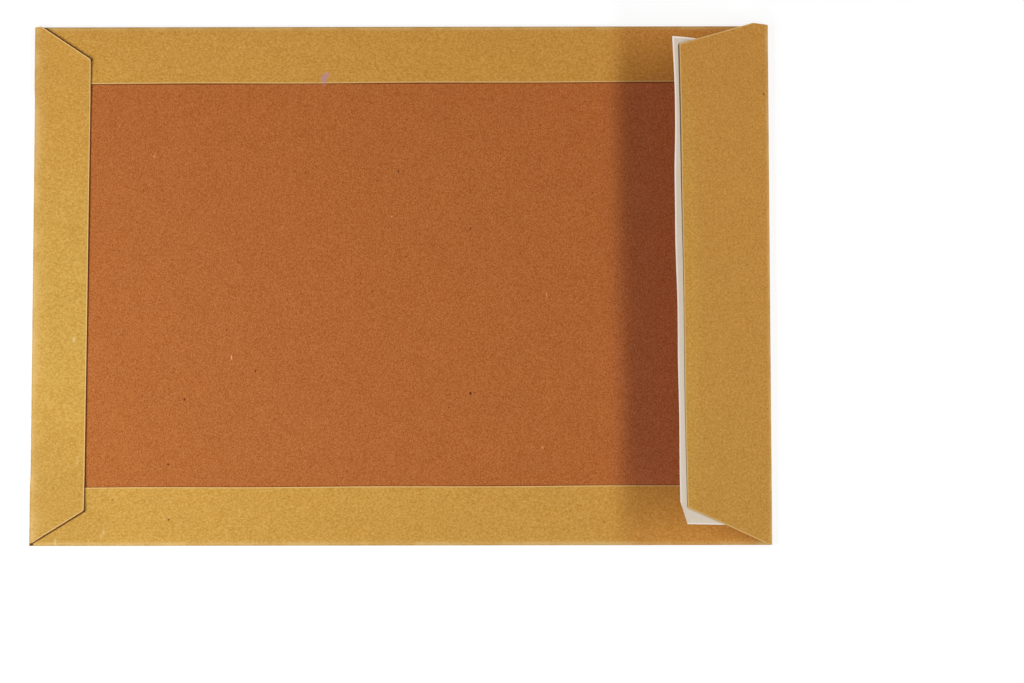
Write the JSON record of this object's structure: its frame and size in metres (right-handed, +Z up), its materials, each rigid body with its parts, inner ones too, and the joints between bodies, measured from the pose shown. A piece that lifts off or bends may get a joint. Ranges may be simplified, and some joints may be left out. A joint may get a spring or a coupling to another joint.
{
  "type": "board-backed envelope",
  "caption": "Flat pocket envelope of folded manilla paper with a stiff chipboard back, glued side and end flaps, and a half-raised sealing flap with adhesive under a release liner.",
  "frame": {"origin": "on the surface the envelope lies on, under the centre of the closed pocket", "axes": "+X along the length to the mouth and the sealing flap, +Y across the width to the upper side, +Z up out of the board back"},
  "size_m": [0.324, 0.229, 0.029],
  "materials": {
    "manilla_paper": "matt golden-brown manilla paper with fine mottled fibre",
    "chipboard": "matt red-brown unlined chipboard with fine fibre grain",
    "liner_paper": "off-white siliconised release paper with a slight sheen",
    "hot_melt": "pale yellow tacky adhesive film",
    "dry_gum": "dry envelope gum"
  },
  "bodies": {
    "root": {"paper_wrapper": "manilla_paper", "backing_board": "chipboard", "release_liner": "liner_paper", "adhesive_strip": "hot_melt", "upper_side_gum": "dry_gum", "lower_side_gum": "dry_gum", "end_flap_gum": "dry_gum"}
  },
  "joints": []
}
